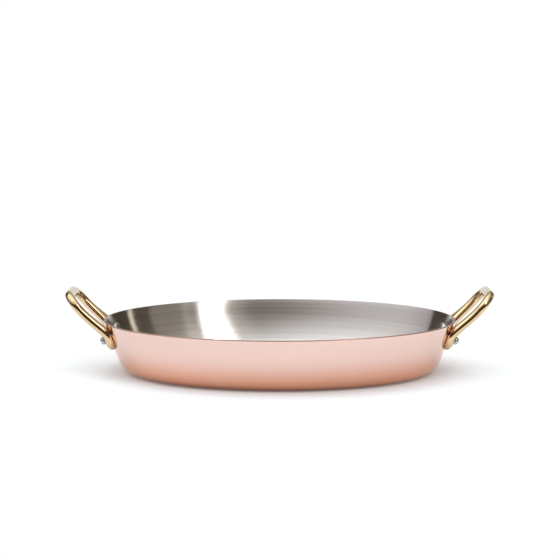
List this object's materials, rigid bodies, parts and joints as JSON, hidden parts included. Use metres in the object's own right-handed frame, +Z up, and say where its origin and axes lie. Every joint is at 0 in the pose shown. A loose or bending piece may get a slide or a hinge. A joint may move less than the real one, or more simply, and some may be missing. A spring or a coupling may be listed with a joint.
{
  "type": "oval copper pan",
  "caption": "Oval copper pan with a steel lining, a flared wall on a flat base, and a cast brass loop handle riveted to each end.",
  "frame": {"origin": "under the middle of the flat base, on the surface that the pan stands on", "axes": "+X along the pan's long axis towards the right handle, +Y towards the pan's back, +Z up out of the pan"},
  "size_m": [0.3856, 0.2294, 0.0761],
  "materials": {
    "copper": "polished copper with a soft satin sheen",
    "steel": "stainless steel brushed round the pan",
    "brass": "cast brass, polished",
    "rivet_steel": "stainless steel, tumbled bright"
  },
  "bodies": {
    "root": {"copper_shell": "copper", "steel_lining": "steel", "handle_left": "brass", "handle_right": "brass", "rivet_left_front": "rivet_steel", "rivet_left_back": "rivet_steel", "rivet_right_front": "rivet_steel", "rivet_right_back": "rivet_steel"}
  },
  "joints": []
}
